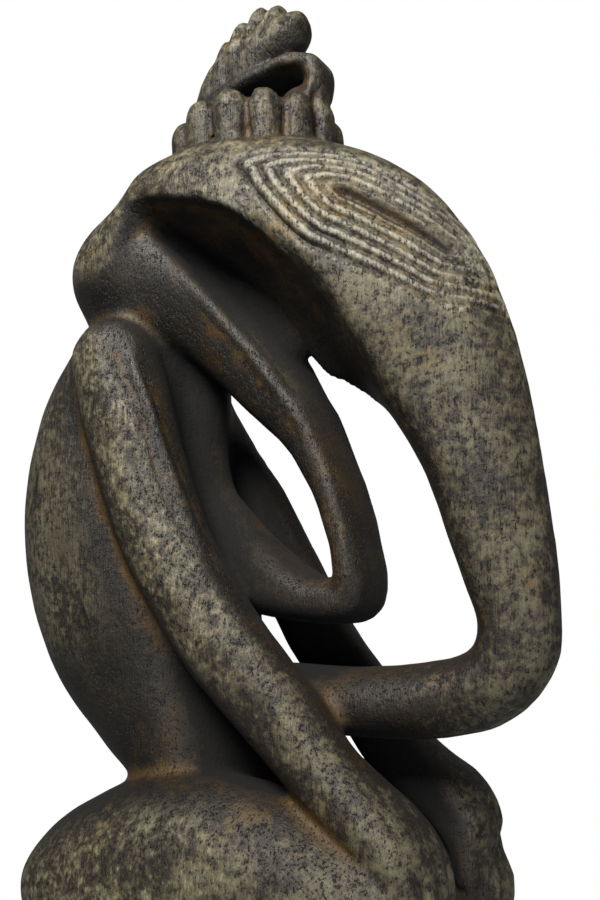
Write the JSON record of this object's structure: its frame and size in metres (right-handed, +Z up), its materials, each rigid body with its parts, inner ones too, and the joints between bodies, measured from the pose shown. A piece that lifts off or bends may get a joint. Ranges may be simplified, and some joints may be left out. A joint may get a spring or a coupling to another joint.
{
  "type": "ancestor statue",
  "caption": "Crouching carved wooden ancestor figure: domed head drawn out into a looping trunk, lower jaw loop, knobbed crest, long arms resting on bent knees, on a low base.",
  "frame": {"origin": "centre of the base's flat underside", "axes": "+Z up the figure, the figure faces -Y, its right hand is on -X"},
  "size_m": [0.3079, 0.531, 1.0476],
  "materials": {
    "patinated_wood": "dark encrusted patina, half matt, worn to a grey-brown sheen on the raised forms"
  },
  "bodies": {
    "root": {"ancestor_figure": "patinated_wood"}
  },
  "joints": []
}
